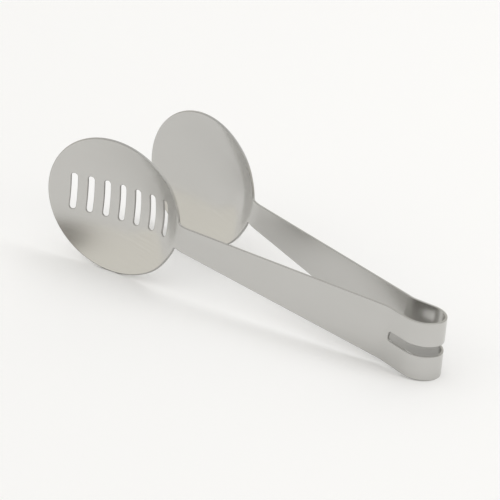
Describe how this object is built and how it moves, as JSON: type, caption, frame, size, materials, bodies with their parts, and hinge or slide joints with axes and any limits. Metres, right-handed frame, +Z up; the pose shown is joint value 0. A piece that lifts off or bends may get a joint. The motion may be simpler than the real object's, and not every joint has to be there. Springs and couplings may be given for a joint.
{
  "type": "tea bag squeezer",
  "caption": "Sprung tongs bent from one stainless strip, with oval dished press plates that nest and a slotted spring bow, for pressing the liquid out of a tea bag.",
  "frame": {"origin": "on the table, under the middle of the part as it stands on edge", "axes": "+X from the press plates to the spring bow, +Z up from the table, -Y on the side of the drained plate"},
  "size_m": [0.1535, 0.058, 0.0481],
  "materials": {
    "stainless_sheet": "satin, finely brushed along the strip, with deburred edges"
  },
  "bodies": {
    "bow": {"upper_bow": "stainless_sheet", "lower_bow": "stainless_sheet"},
    "front_spring": {"front_shoulder": "stainless_sheet"},
    "front_lever": {"front_arm": "stainless_sheet", "front_press_plate": "stainless_sheet"},
    "rear_spring": {"rear_shoulder": "stainless_sheet"},
    "rear_lever": {"rear_arm": "stainless_sheet", "rear_press_plate": "stainless_sheet"}
  },
  "joints": [
    {"name": "front_bow_bend", "type": "hinge", "parent": "bow", "child": "front_spring", "pos_m": [0.06699, -0.00835, 0.01045], "axis": [-0.1164, 0, -0.9932], "range_deg": [0, 5.4], "stiffness_Nm_per_rad": 4},
    {"name": "front_neck_bend", "type": "hinge", "parent": "front_spring", "child": "front_lever", "pos_m": [0.05541, -0.00743, 0.01181], "axis": [-0.1164, 0, -0.9932], "range_deg": [0, 5.4], "stiffness_Nm_per_rad": 4},
    {"name": "rear_bow_bend", "type": "hinge", "parent": "bow", "child": "rear_spring", "pos_m": [0.06699, 0.00567, 0.01045], "axis": [0.1164, 0, 0.9932], "range_deg": [0, 5.4], "stiffness_Nm_per_rad": 4},
    {"name": "rear_neck_bend", "type": "hinge", "parent": "rear_spring", "child": "rear_lever", "pos_m": [0.05541, 0.00475, 0.01181], "axis": [0.1164, 0, 0.9932], "range_deg": [0, 5.4], "stiffness_Nm_per_rad": 4}
  ],
  "couplings": [
    {"joint": "front_neck_bend", "follows": "front_bow_bend", "ratio": 1},
    {"joint": "rear_bow_bend", "follows": "front_bow_bend", "ratio": 1},
    {"joint": "rear_neck_bend", "follows": "front_bow_bend", "ratio": 1}
  ]
}
